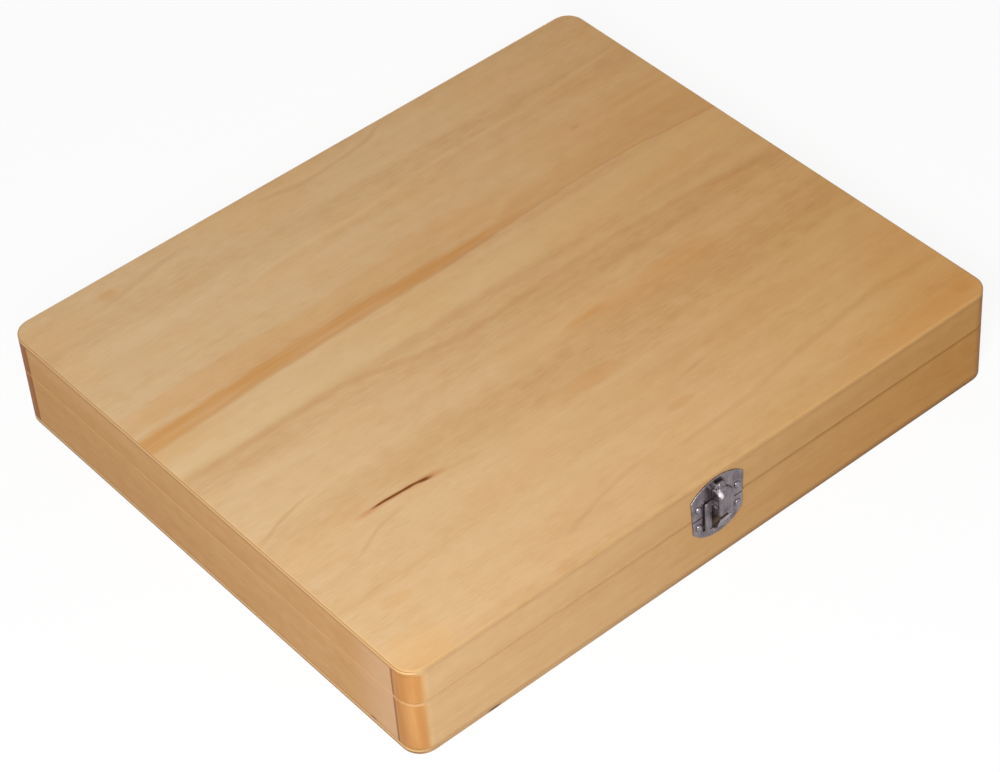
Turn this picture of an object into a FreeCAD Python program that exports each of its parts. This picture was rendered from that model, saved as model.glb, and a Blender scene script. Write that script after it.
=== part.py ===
import FreeCAD, Part
import math
import os
import Sketcher
from FreeCAD import Placement, Rotation, Vector

# An art supply box: a flat wooden case whose lid turns on two hinges at the back and is held
# by a pressed steel catch at the front. Millimetres. X runs along the front, the front faces -Y,
# +Z is up, and the origin is the middle of the underside.

doc = FreeCAD.newDocument("art_supply_box")
sheet = doc.addObject("Spreadsheet::Sheet", "dims")

DRIVING_DIMENSIONS = [
    # The case: plywood panels over frames of solid rails
    ("case_width", 350.0),
    ("case_depth", 298.0),
    ("base_rail_height", 29.4),
    ("lid_rail_height", 17.9),
    ("seam_gap", 0.3),
    ("bottom_thickness", 3.0),
    ("top_thickness", 3.0),
    ("rail_thickness", 12.0),
    ("side_thickness", 12.0),
    ("corner_radius", 10.0),
    ("top_edge_round", 1.1),
    ("bottom_edge_round", 0.6),
    ("seam_chamfer", 0.6),
    ("panel_chamfer", 0.25),
    # Corner joints: a tongue on each end of a side piece, in a groove of the long rail
    ("tongue_thickness", 4.0),
    ("tongue_length", 5.0),
    ("wood_clearance", 0.05),
    # The partitions of the base, let into shallow housings
    ("divider_thickness", 5.0),
    ("divider_height", 24.0),
    ("housing_depth", 3.0),
    ("brush_tray_depth", 86.0),
    # The hinges
    ("hinge_spacing", 210.0),
    ("hinge_length", 32.0),
    ("leaf_width", 9.5),
    ("leaf_thickness", 0.9),
    ("leaf_gap", 0.1),
    ("hinge_pin_diameter", 1.8),
    ("knuckle_diameter", 3.6),
    ("knuckle_gap", 0.2),
    ("knuckle_standoff", 0.3),
    ("running_clearance", 0.06),
    ("press_clearance", 0.02),
    ("screw_spacing", 20.0),
    ("screw_length", 11.0),
    ("screw_diameter", 2.2),
    ("screw_head_diameter", 3.6),
    ("screw_tip_length", 3.0),
    ("screw_slot_width", 0.5),
    ("screw_slot_depth", 0.4),
    # The plates of the catch
    ("latch_drop", 0.4),
    ("latch_width", 30.2),
    ("latch_flare", 0.05),
    ("latch_split", 0.8),
    ("upper_corner", 12.6),
    ("upper_crown", 6.5),
    ("lower_corner", 8.0),
    ("lower_crown", 7.5),
    ("latch_sheet", 0.9),
    ("latch_edge_chamfer", 0.3),
    ("nail_across", 23.2),
    ("upper_nail_offset", 6.5),
    ("lower_nail_offset", 4.6),
    ("nail_length", 9.0),
    ("nail_diameter", 1.3),
    ("nail_head_diameter", 3.2),
    ("nail_head_height", 1.1),
    # The raised loop of the lower plate, which crosses the seam
    ("loop_width", 17.4),
    ("loop_top", 8.2),
    ("loop_root", 9.3),
    ("loop_bend", 1.8),
    ("loop_standoff", 0.4),
    ("loop_slit", 0.7),
    ("loop_corner", 1.4),
    ("window_width", 9.6),
    ("window_top", 5.4),
    # The hood pressed out of the lower plate below the hasp
    ("hood_width", 6.4),
    ("hood_top", 2.0),
    ("hood_reach", 6.1),
    ("hood_belly_top", 6.6),
    ("hood_belly_reach", 4.3),
    ("hood_root", 10.8),
    # The hasp and its pivot
    ("pivot_height", 16.0),
    ("pivot_reach", 2.8),
    ("pivot_diameter", 1.5),
    ("lug_radius", 1.5),
    ("lug_gap", 0.3),
    ("hasp_knuckle_width", 4.0),
    ("hasp_width", 7.8),
    ("hasp_reach", 6.9),
    ("hasp_sheet", 0.8),
    ("hasp_shoulder", 2.3),
    ("hasp_bottom", 1.4),
    ("hasp_edge_round", 0.7),
    ("notch_reach", 5.0),
    ("tooth_bottom", -0.8),
    ("tooth_clearance", 0.4),
]

for row, (alias, size) in enumerate(DRIVING_DIMENSIONS, start=1):
    sheet.set(f"A{row}", alias)
    sheet.set(f"B{row}", str(size))
    sheet.setAlias(f"B{row}", alias)
doc.recompute()

# Places that several pieces share, as expressions on the sheet
HALF_WIDTH = "dims.case_width / 2"
HALF_DEPTH = "dims.case_depth / 2"
BASE_TOP = "(dims.bottom_thickness + dims.base_rail_height)"
SEAM_LEVEL = f"({BASE_TOP} + dims.seam_gap / 2)"
LID_LEVEL = f"({BASE_TOP} + dims.seam_gap)"
LID_TOP = f"({LID_LEVEL} + dims.lid_rail_height)"
CORNER = "min(dims.corner_radius; dims.rail_thickness - 1)"
TRAY_BACK = "(-dims.case_depth / 2 + dims.rail_thickness + dims.brush_tray_depth)"
DIVIDER_MIDDLE = f"({TRAY_BACK} + dims.divider_thickness / 2)"
BAY_WIDTH = "(dims.case_width - 2 * dims.side_thickness - 3 * dims.divider_thickness) / 4"
BAY_PITCH = f"({BAY_WIDTH} + dims.divider_thickness)"
HINGE_AXIS = "(dims.knuckle_diameter / 2 + dims.knuckle_standoff)"
MORTISE_DEPTH = "(dims.leaf_thickness + dims.leaf_gap / 2 - dims.seam_gap / 2)"
SCREW_HEAD_HEIGHT = "((dims.screw_head_diameter - dims.screw_diameter) / 2)"
SCREW_INSET = "dims.leaf_width / 2"
LATCH_LEVEL = f"({SEAM_LEVEL} - dims.latch_drop)"
LOOP_BACK = "(dims.latch_sheet + dims.loop_standoff)"
LOOP_FRONT = f"({LOOP_BACK} + dims.latch_sheet)"
LUG_SPREAD = "(dims.hasp_knuckle_width + 2 * dims.lug_gap)"


def value(expression):
    return float(sheet.evalExpression(expression))


def bind(target, **expressions):
    for name, expression in expressions.items():
        target.setExpression(name.replace("__", "."), expression)


def place(target, x="0", y="0", z="0", axis=Vector(0, 0, 1), angle=0):
    target.Placement = Placement(Vector(0, 0, 0), Rotation(axis, angle))
    bind(target, Placement__Base__x=x, Placement__Base__y=y, Placement__Base__z=z)
    return target


def new_body(label):
    body = doc.addObject("PartDesign::Body", label)
    body.Label = label
    return body


def sketch_on(body, role, level=None):
    plane = next(item for item in body.Origin.OriginFeatures if item.Role == role)
    sketch = body.newObject("Sketcher::SketchObject", body.Name + "_sketch")
    sketch.AttachmentSupport = [(plane, "")]
    sketch.MapMode = "FlatFace"
    if level:
        sketch.setExpression("AttachmentOffset.Base.z", level)
    return sketch


def pin_point(sketch, geometry, point, x, y):
    for kind, expression in (("DistanceX", x), ("DistanceY", y)):
        constraint = Sketcher.Constraint(kind, -1, 1, geometry, point, value(expression))
        index = sketch.addConstraint(constraint)
        name = f"{kind}_{index}"
        sketch.renameConstraint(index, name)
        sketch.setExpression("Constraints." + name, expression)


def set_radius(sketch, geometry, radius):
    index = sketch.addConstraint(Sketcher.Constraint("Radius", geometry, value(radius)))
    name = f"Radius_{index}"
    sketch.renameConstraint(index, name)
    sketch.setExpression("Constraints." + name, radius)


def arc_between(start, end, radius, turn):
    """An arc of less than a half circle. turn is 1 for anticlockwise and -1 for clockwise."""
    chord = end - start
    rise = math.sqrt(max(radius ** 2 - (chord.Length / 2) ** 2, 0))
    side = Vector(-chord.y, chord.x, 0).normalize() * (turn * rise)
    centre = (start + end) / 2 + side
    first, last = (start, end) if turn > 0 else (end, start)
    angles = [math.atan2(point.y - centre.y, point.x - centre.x) for point in (first, last)]
    circle = Part.Circle(centre, Vector(0, 0, 1), radius)
    return Part.ArcOfCircle(circle, angles[0], angles[1])


def draw_outline(sketch, corners, arcs=None):
    """A closed outline. arcs gives (radius, turn) for the edges, by number, that aren't straight."""
    arcs = arcs or {}
    points = [Vector(value(x), value(y), 0) for x, y in corners]
    edges = []
    for number, start in enumerate(points):
        end = points[(number + 1) % len(points)]
        if number in arcs:
            radius, turn = arcs[number]
            geometry = sketch.addGeometry(arc_between(start, end, value(radius), turn), False)
            set_radius(sketch, geometry, radius)
            edges.append((geometry, 1, 2) if turn > 0 else (geometry, 2, 1))
        else:
            geometry = sketch.addGeometry(Part.LineSegment(start, end), False)
            edges.append((geometry, 1, 2))
    for number, (geometry, first, last) in enumerate(edges):
        following, following_first, _ = edges[(number + 1) % len(edges)]
        joint = Sketcher.Constraint("Coincident", geometry, last, following, following_first)
        sketch.addConstraint(joint)
        pin_point(sketch, geometry, first, *corners[number])


def draw_rectangle(sketch, left, right, low, high):
    draw_outline(sketch, [(left, low), (right, low), (right, high), (left, high)])


def draw_circle(sketch, x, y, radius):
    centre = Vector(value(x), value(y), 0)
    circle = Part.Circle(centre, Vector(0, 0, 1), value(radius))
    geometry = sketch.addGeometry(circle, False)
    set_radius(sketch, geometry, radius)
    pin_point(sketch, geometry, 3, x, y)


def extrude(body, kind, sketch, length, symmetric, flip):
    before = body.Shape.Volume if body.Tip else 0
    feature = body.newObject("PartDesign::" + kind, f"{body.Name}_{kind}")
    feature.Profile = sketch
    feature.SideType = "Symmetric" if symmetric else "One side"
    feature.Reversed = flip
    if length:
        feature.setExpression("Length", length)
    else:
        feature.Type = "ThroughAll"
    doc.recompute()
    change = body.Shape.Volume - before
    if (kind == "Pad") != (change > 0):
        raise RuntimeError(f"{feature.Name} doesn't change {body.Label}")
    return feature


def pad(body, sketch, length, symmetric=False):
    return extrude(body, "Pad", sketch, length, symmetric, False)


def pocket(body, sketch, length=None, symmetric=False, flip=False):
    return extrude(body, "Pocket", sketch, length, symmetric, flip)


def ease(body, kind, size, wanted):
    """Round or chamfer the edges of the body's last feature for which wanted(edge) is true."""
    base = body.Tip
    names = [f"Edge{n}" for n, edge in enumerate(base.Shape.Edges, start=1) if wanted(edge)]
    feature = body.newObject("PartDesign::" + kind, f"{body.Name}_{kind}")
    feature.Base = (base, names)
    bind(feature, **{"Radius" if kind == "Fillet" else "Size": size})
    doc.recompute()
    return feature


def at(edge, axis, level):
    """True where the whole edge lies in the plane at that level of the axis."""
    box = edge.BoundBox
    low, high = getattr(box, axis + "Min"), getattr(box, axis + "Max")
    return abs(low - level) < 1e-4 and abs(high - level) < 1e-4


def is_upright(edge):
    return at(edge, "X", edge.BoundBox.XMin) and at(edge, "Y", edge.BoundBox.YMin)


# Plywood panels: one sheet closes the bottom and one the lid, flush with the frames


def make_panel(label, thickness, level, edge_round, rounded_level):
    body = new_body(label)
    outline = sketch_on(body, "XY_Plane")
    draw_rectangle(outline, f"-{HALF_WIDTH}", HALF_WIDTH, f"-{HALF_DEPTH}", HALF_DEPTH)
    pad(body, outline, thickness)
    ease(body, "Fillet", CORNER, is_upright)
    ease(body, "Fillet", edge_round, lambda edge: at(edge, "Z", value(rounded_level)))
    return place(body, z=level)


# Long rails: the front and back of each frame run the whole width, with rounded ends.
# Each is drawn with its outer face at y = 0 and its inner face towards +y.


def make_long_rail(label, height, level, seam_level, is_back):
    body = new_body(label)
    outline = sketch_on(body, "XY_Plane")
    draw_rectangle(outline, f"-{HALF_WIDTH}", HALF_WIDTH, "0", "dims.rail_thickness")
    pad(body, outline, height)
    ease(body, "Fillet", CORNER, lambda edge: is_upright(edge) and at(edge, "Y", 0))
    inner = value("dims.rail_thickness")
    seam = value(seam_level)
    far = value(height) - seam
    ease(body, "Chamfer", "dims.seam_chamfer", lambda edge: at(edge, "Z", seam) and not at(edge, "Y", inner))
    ease(body, "Chamfer", "dims.panel_chamfer", lambda edge: at(edge, "Z", far) and not at(edge, "Y", inner))
    grooves = sketch_on(body, "XY_Plane")
    groove_half = "(dims.tongue_thickness / 2 + dims.wood_clearance)"
    groove_floor = "dims.rail_thickness - dims.tongue_length - dims.wood_clearance"
    for sign in ("-", ""):
        middle = f"{sign}({HALF_WIDTH} - dims.side_thickness / 2)"
        draw_rectangle(grooves, f"{middle} - {groove_half}", f"{middle} + {groove_half}",
                       groove_floor, "dims.rail_thickness")
    pocket(body, grooves, flip=True)
    if is_back:
        return place(body, y=HALF_DEPTH, z=level, angle=180)
    return place(body, y=f"-{HALF_DEPTH}", z=level)


def cut_hinge_seats(body, seam_level, from_above):
    """Mortises for the leaves and pilot holes for their screws, in the seam face of a back rail."""
    mortises = sketch_on(body, "XY_Plane", seam_level)
    pilots = sketch_on(body, "XY_Plane", seam_level)
    half = "(dims.hinge_length / 2 + dims.wood_clearance)"
    for side in (-1, 1):
        middle = f"{side} * dims.hinge_spacing / 2"
        draw_rectangle(mortises, f"{middle} - {half}", f"{middle} + {half}",
                       "0", "dims.leaf_width + dims.wood_clearance")
        for end in (-1, 1):
            draw_circle(pilots, f"{middle} + {end} * dims.screw_spacing / 2", SCREW_INSET,
                        "dims.screw_diameter / 2 + dims.press_clearance")
    pocket(body, mortises, MORTISE_DEPTH, flip=not from_above)
    pocket(body, pilots, f"{MORTISE_DEPTH} + dims.screw_length", flip=not from_above)


def cut_nail_holes(body, level):
    """Pilot holes for two nails of the catch, in the outer face of a front rail."""
    holes = sketch_on(body, "XZ_Plane")
    for side in (-1, 1):
        draw_circle(holes, f"{side} * dims.nail_across / 2", level,
                    "dims.nail_diameter / 2 + dims.press_clearance")
    pocket(body, holes, "dims.nail_length")


def cut_housings(body, middles, across_x, inner_face):
    """Housings for partitions, in the inner face of a base rail and as high as the partitions."""
    housings = sketch_on(body, "XY_Plane")
    half = "(dims.divider_thickness / 2 + dims.wood_clearance)"
    floor = f"{inner_face} - dims.housing_depth - dims.wood_clearance"
    for middle in middles:
        run = (f"{middle} - {half}", f"{middle} + {half}")
        sides = run + (floor, inner_face) if across_x else (floor, inner_face) + run
        draw_rectangle(housings, *sides)
    pocket(body, housings, "dims.divider_height + dims.wood_clearance", flip=True)


# Side pieces: set between the long rails, with a tongue at each end.
# Each is drawn with its outer face at x = 0 and its inner face towards +x.


def make_side(label, height, level, seam_level, is_right):
    body = new_body(label)
    shoulder = f"({HALF_DEPTH} - dims.rail_thickness)"
    end = f"({shoulder} + dims.tongue_length)"
    blank = sketch_on(body, "XY_Plane")
    draw_rectangle(blank, "0", "dims.side_thickness", f"-{end}", end)
    pad(body, blank, height)
    rebates = sketch_on(body, "XY_Plane")
    rebate = "(dims.side_thickness - dims.tongue_thickness) / 2"
    for low, high in ((f"-{end}", f"-{shoulder}"), (shoulder, end)):
        draw_rectangle(rebates, "0", rebate, low, high)
        draw_rectangle(rebates, f"dims.side_thickness - {rebate}", "dims.side_thickness", low, high)
    pocket(body, rebates, flip=True)
    seam = value(seam_level)
    far = value(height) - seam
    ease(body, "Chamfer", "dims.seam_chamfer", lambda edge: at(edge, "Z", seam) and at(edge, "X", 0))
    ease(body, "Chamfer", "dims.panel_chamfer", lambda edge: at(edge, "Z", far) and at(edge, "X", 0))
    if is_right:
        return place(body, x=HALF_WIDTH, z=level, angle=180)
    return place(body, x=f"-{HALF_WIDTH}", z=level)


# Partitions: a long one behind the brush tray, and three that part the space behind it


def make_long_divider(label):
    body = new_body(label)
    blank = sketch_on(body, "XY_Plane")
    half_length = f"({HALF_WIDTH} - dims.side_thickness + dims.housing_depth)"
    draw_rectangle(blank, f"-{half_length}", half_length, "0", "dims.divider_thickness")
    pad(body, blank, "dims.divider_height")
    housings = sketch_on(body, "XY_Plane")
    half = "(dims.divider_thickness / 2 + dims.wood_clearance)"
    depth = "(dims.housing_depth / 2 + dims.wood_clearance)"
    for place_along in (-1, 0, 1):
        middle = f"{place_along} * {BAY_PITCH}"
        draw_rectangle(housings, f"{middle} - {half}", f"{middle} + {half}",
                       f"dims.divider_thickness - {depth}", "dims.divider_thickness")
    pocket(body, housings, flip=True)
    return place(body, y=TRAY_BACK, z="dims.bottom_thickness")


def make_cross_divider(label, place_along):
    divider = doc.addObject("Part::Box", label)
    divider.Label = label
    front = f"({TRAY_BACK} + dims.divider_thickness - dims.housing_depth / 2)"
    back = f"({HALF_DEPTH} - dims.rail_thickness + dims.housing_depth)"
    bind(divider, Length="dims.divider_thickness", Width=f"{back} - {front}", Height="dims.divider_height")
    left = f"{place_along} * {BAY_PITCH} - dims.divider_thickness / 2"
    return place(divider, x=left, y=front, z="dims.bottom_thickness")


# Small solids for the hardware


def block(length, width, height, x="0", y="0", z="0"):
    solid = doc.addObject("Part::Box", "block")
    bind(solid, Length=length, Width=width, Height=height)
    return place(solid, x, y, z)


def rod(radius, length, x="0", y="0", z="0", along_x=False):
    solid = doc.addObject("Part::Cylinder", "rod")
    bind(solid, Radius=radius, Height=length)
    return place(solid, x, y, z, Vector(0, 1, 0), 90 if along_x else 0)


def cone(low_radius, high_radius, height, x="0", y="0", z="0"):
    solid = doc.addObject("Part::Cone", "cone")
    bind(solid, Radius1=low_radius, Radius2=high_radius, Height=height)
    return place(solid, x, y, z)


def fuse(solids, label="fused"):
    whole = doc.addObject("Part::MultiFuse", label)
    whole.Shapes = solids
    whole.Refine = True
    whole.Label = label
    return whole


def cut(base, tools, label="trimmed"):
    whole = doc.addObject("Part::Cut", label)
    whole.Base = base
    whole.Tool = tools[0] if len(tools) == 1 else fuse(tools)
    whole.Refine = True
    whole.Label = label
    return whole


def group(solids, label):
    whole = doc.addObject("Part::Compound", label)
    whole.Links = solids
    whole.Label = label
    return whole


# Hinges: a leaf let into each back rail, with the middle knuckle on the base and two on the lid.
# Each is drawn about its own axis, with the case towards -y.

KNUCKLE_LENGTH = "((dims.hinge_length - 2 * dims.knuckle_gap) / 3)"


def make_leaf(label, x, on_lid):
    edge = "-dims.hinge_length / 2"
    plate_level = "dims.leaf_gap / 2" if on_lid else "-dims.leaf_gap / 2 - dims.leaf_thickness"
    plate = block("dims.hinge_length", "dims.leaf_width", "dims.leaf_thickness",
                  edge, f"-{HINGE_AXIS} - dims.leaf_width", plate_level)
    pitch = f"({KNUCKLE_LENGTH} + dims.knuckle_gap)"
    numbers = (0, 2) if on_lid else (1,)
    solids = [plate]
    for number in numbers:
        start = f"{edge} + {number} * {pitch}"
        solids.append(block(KNUCKLE_LENGTH, HINGE_AXIS, "dims.leaf_thickness",
                            start, f"-{HINGE_AXIS}", plate_level))
        solids.append(rod("dims.knuckle_diameter / 2", KNUCKLE_LENGTH, start, along_x=True))
    clearance = "dims.running_clearance" if on_lid else "dims.press_clearance"
    bore = rod(f"dims.hinge_pin_diameter / 2 + {clearance}", "dims.hinge_length", edge, along_x=True)
    tools = [bore]
    shank = "(dims.screw_diameter / 2 + dims.press_clearance)"
    head = "(dims.screw_head_diameter / 2 + dims.press_clearance)"
    sink_level = plate_level if on_lid else f"-dims.leaf_gap / 2 - {SCREW_HEAD_HEIGHT}"
    sink_radii = (head, shank) if on_lid else (shank, head)
    for end in (-1, 1):
        spot = (f"{end} * dims.screw_spacing / 2", f"-{HINGE_AXIS} - {SCREW_INSET}")
        tools.append(rod(shank, "dims.leaf_thickness", *spot, plate_level))
        tools.append(cone(*sink_radii, SCREW_HEAD_HEIGHT, *spot, sink_level))
    leaf = cut(fuse(solids), tools, label)
    return place(leaf, x=x, y=f"{HALF_DEPTH} + {HINGE_AXIS}", z=SEAM_LEVEL)


def make_hinge_pin(label, x):
    pin = doc.addObject("Part::Cylinder", label)
    pin.Label = label
    bind(pin, Radius="dims.hinge_pin_diameter / 2", Height="dims.hinge_length")
    start = f"{x} - dims.hinge_length / 2"
    return place(pin, start, f"{HALF_DEPTH} + {HINGE_AXIS}", SEAM_LEVEL, Vector(0, 1, 0), 90)


def make_screw(x, on_lid):
    """A countersunk screw with a slotted head, drawn point down with the head's face at z = 0."""
    shank_length = f"(dims.screw_length - {SCREW_HEAD_HEIGHT} - dims.screw_tip_length)"
    shank_radius = "dims.screw_diameter / 2"
    shank_bottom = f"-{SCREW_HEAD_HEIGHT} - {shank_length}"
    head = cone(shank_radius, "dims.screw_head_diameter / 2", SCREW_HEAD_HEIGHT, z=f"-{SCREW_HEAD_HEIGHT}")
    shank = rod(shank_radius, shank_length, z=shank_bottom)
    tip = cone("0", shank_radius, "dims.screw_tip_length", z="-dims.screw_length")
    slot = block("dims.screw_head_diameter", "dims.screw_slot_width", "dims.screw_slot_depth",
                 "-dims.screw_head_diameter / 2", "-dims.screw_slot_width / 2", "-dims.screw_slot_depth")
    screw = cut(fuse([head, shank, tip]), [slot])
    level = f"{SEAM_LEVEL} + dims.leaf_gap / 2" if on_lid else f"{SEAM_LEVEL} - dims.leaf_gap / 2"
    return place(screw, x, f"{HALF_DEPTH} - {SCREW_INSET}", level, Vector(1, 0, 0), 180 if on_lid else 0)


def make_screws(label, on_lid):
    screws = []
    for side in (-1, 1):
        for end in (-1, 1):
            x = f"{side} * dims.hinge_spacing / 2 + {end} * dims.screw_spacing / 2"
            screws.append(make_screw(x, on_lid))
    return group(screws, label)


# The catch: an upper plate with two lugs, a lower plate with a raised loop and a hood, and a hasp.
# Each is drawn from the middle of the catch on the case's front face. A reach is measured out from
# that face, towards -y, so the side profiles use its negative.


def out(reach):
    return f"-({reach})"


def place_latch(target, height="0", x="0"):
    return place(target, x=x, y=f"-{HALF_DEPTH}", z=f"{LATCH_LEVEL} + {height}")


def pad_plate(body, half, sign):
    """Half of the catch's outline: straight sides that flare upwards, closed by a crown."""
    corner, crown = f"dims.{half}_corner", f"dims.{half}_crown"
    near = "(dims.latch_width / 2)"
    far = f"({near} + {sign} * dims.latch_flare * {corner})"
    radius = f"(({far} ^ 2 + {crown} ^ 2) / (2 * {crown}))"
    split = f"{sign} * dims.latch_split / 2"
    outline = sketch_on(body, "XZ_Plane")
    corners = [(f"{-sign} * {near}", split), (f"{sign} * {near}", split),
               (f"{sign} * {far}", f"{sign} * {corner}"), (f"{-sign} * {far}", f"{sign} * {corner}")]
    draw_outline(outline, corners, {2: (radius, 1)})
    pad(body, outline, "dims.latch_sheet")
    front = -value("dims.latch_sheet")
    ease(body, "Chamfer", "dims.latch_edge_chamfer", lambda edge: at(edge, "Y", front))
    holes = sketch_on(body, "XZ_Plane")
    for side in (-1, 1):
        draw_circle(holes, f"{side} * dims.nail_across / 2", f"{sign} * dims.{half}_nail_offset",
                    "dims.nail_diameter / 2 + dims.press_clearance")
    pocket(body, holes, flip=True)


def bore_pivot(body, clearance):
    bore = sketch_on(body, "YZ_Plane")
    draw_circle(bore, out("dims.pivot_reach"), "dims.pivot_height",
                f"dims.pivot_diameter / 2 + {clearance}")
    pocket(body, bore, f"2 * {LUG_SPREAD}", symmetric=True)


def make_upper_plate(label):
    body = new_body(label)
    pad_plate(body, "upper", 1)
    high = "dims.pivot_height + dims.lug_radius"
    low = "dims.pivot_height - dims.lug_radius"
    tip = "dims.pivot_reach + dims.lug_radius"
    lug = sketch_on(body, "YZ_Plane")
    corners = [("0", high), (out("dims.pivot_reach"), high), (out(tip), "dims.pivot_height"),
               (out("dims.pivot_reach"), low), ("0", low)]
    draw_outline(lug, corners, {1: ("dims.lug_radius", 1), 2: ("dims.lug_radius", 1)})
    pad(body, lug, f"{LUG_SPREAD} + 2 * dims.latch_sheet", symmetric=True)
    between = sketch_on(body, "YZ_Plane")
    draw_rectangle(between, out(f"{tip} + dims.lug_gap"), out("dims.latch_sheet"), low, high)
    pocket(body, between, LUG_SPREAD, symmetric=True)
    bore_pivot(body, "dims.press_clearance")
    return place_latch(body)


def make_lower_plate(label):
    body = new_body(label)
    pad_plate(body, "lower", -1)
    sheet_thickness = "dims.latch_sheet"
    gap_half = "(dims.loop_width / 2 + dims.loop_slit)"
    gap = sketch_on(body, "XZ_Plane")
    draw_rectangle(gap, f"-{gap_half}", gap_half, "-dims.loop_root", "0")
    pocket(body, gap, flip=True)

    loop = sketch_on(body, "YZ_Plane")
    foot = f"-dims.loop_root - {sheet_thickness}"
    bend_top = "-dims.loop_root + dims.loop_bend"
    corners = [("0", foot), ("0", "-dims.loop_root"), (out(LOOP_BACK), bend_top),
               (out(LOOP_BACK), "dims.loop_top"), (out(LOOP_FRONT), "dims.loop_top"),
               (out(LOOP_FRONT), bend_top), (out(sheet_thickness), foot)]
    draw_outline(loop, corners)
    pad(body, loop, "dims.loop_width", symmetric=True)
    loop_top = value("dims.loop_top")
    loop_side = value("dims.loop_width / 2")
    ease(body, "Fillet", "dims.loop_corner",
         lambda edge: at(edge, "Z", loop_top) and (at(edge, "X", loop_side) or at(edge, "X", -loop_side)))

    window = sketch_on(body, "XZ_Plane")
    window_half = "(dims.window_width / 2)"
    draw_rectangle(window, f"-{window_half}", window_half, "-dims.hood_root", "dims.window_top")
    pocket(body, window, flip=True)

    hood = sketch_on(body, "YZ_Plane")
    drop = "(dims.hood_root - dims.hood_belly_top)"
    run = f"(dims.hood_belly_reach - {sheet_thickness})"
    belly = f"(({drop} ^ 2 + {run} ^ 2) / (2 * {run}))"
    inner_belly = f"({belly} - {sheet_thickness})"
    inner_drop = f"sqrt({inner_belly} ^ 2 - ({belly} - dims.hood_belly_reach) ^ 2)"
    foot = f"-dims.hood_root - {sheet_thickness}"
    corners = [("0", foot), ("0", f"-dims.hood_belly_top - {inner_drop}"),
               (out(f"dims.hood_belly_reach - {sheet_thickness}"), "-dims.hood_belly_top"),
               (out(f"dims.hood_reach - {sheet_thickness}"), "-dims.hood_top"),
               (out("dims.hood_reach"), "-dims.hood_top"),
               (out("dims.hood_belly_reach"), "-dims.hood_belly_top"),
               (out(sheet_thickness), "-dims.hood_root"), (out(sheet_thickness), foot)]
    draw_outline(hood, corners, {1: (inner_belly, -1), 5: (belly, 1)})
    pad(body, hood, "dims.hood_width", symmetric=True)
    return place_latch(body)


def make_hasp(label):
    """A pressed channel whose cheeks are notched for the loop, hung from a rolled knuckle."""
    body = new_body(label)
    top = "(dims.pivot_height - dims.lug_radius - dims.lug_gap)"
    shoulder_reach = "(dims.hasp_reach - dims.hasp_shoulder)"
    shoulder_level = f"({top} - dims.hasp_shoulder)"
    back = "(dims.latch_sheet + dims.lug_gap)"
    notch_low = "(dims.window_top - dims.tooth_clearance)"
    notch_high = "(dims.loop_top + dims.tooth_clearance)"
    profile = sketch_on(body, "YZ_Plane")
    corners = [(out(shoulder_reach), top), (out("dims.hasp_reach"), shoulder_level),
               (out("dims.hasp_reach"), "dims.hasp_bottom"), (out(back), "dims.tooth_bottom"),
               (out(back), notch_low), (out("dims.notch_reach"), notch_low),
               (out("dims.notch_reach"), notch_high), (out(back), notch_high), (out(back), top)]
    draw_outline(profile, corners, {0: ("dims.hasp_shoulder", 1)})
    pad(body, profile, "dims.hasp_width", symmetric=True)
    side = value("dims.hasp_width / 2")
    crown = value(top)
    shoulder = value(out(shoulder_reach))

    def is_outer_edge(edge):
        on_side = at(edge, "X", side) or at(edge, "X", -side)
        in_front = edge.BoundBox.YMax < shoulder + 1e-4
        return on_side and (in_front or at(edge, "Z", crown))

    ease(body, "Fillet", "dims.hasp_edge_round", is_outer_edge)

    hollow = sketch_on(body, "YZ_Plane")
    inner_reach = "(dims.hasp_reach - dims.hasp_sheet)"
    inner_top = f"({top} - dims.hasp_sheet)"
    below = "dims.tooth_bottom - dims.hasp_sheet"
    corners = [("0", inner_top), (out(shoulder_reach), inner_top), (out(inner_reach), shoulder_level),
               (out(inner_reach), below), ("0", below)]
    draw_outline(hollow, corners, {1: ("dims.hasp_shoulder - dims.hasp_sheet", 1)})
    pocket(body, hollow, "dims.hasp_width - 2 * dims.hasp_sheet", symmetric=True)

    knuckle = sketch_on(body, "YZ_Plane")
    knuckle_front = out("dims.pivot_reach + dims.lug_radius")
    knuckle_back = out("dims.pivot_reach - dims.lug_radius")
    corners = [(out("dims.pivot_reach"), "dims.pivot_height + dims.lug_radius"),
               (knuckle_front, "dims.pivot_height"), (knuckle_front, inner_top),
               (knuckle_back, inner_top), (knuckle_back, "dims.pivot_height")]
    draw_outline(knuckle, corners, {0: ("dims.lug_radius", 1), 4: ("dims.lug_radius", 1)})
    pad(body, knuckle, "dims.hasp_knuckle_width", symmetric=True)
    bore_pivot(body, "dims.running_clearance")
    return place_latch(body)


def make_pivot_pin(label):
    pin = doc.addObject("Part::Cylinder", label)
    pin.Label = label
    length = f"({LUG_SPREAD} + 2 * dims.latch_sheet + 2 * dims.lug_gap)"
    bind(pin, Radius="dims.pivot_diameter / 2", Height=length)
    return place(pin, f"-{length} / 2", f"-{HALF_DEPTH} - dims.pivot_reach",
                 f"{LATCH_LEVEL} + dims.pivot_height", Vector(0, 1, 0), 90)


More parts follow.
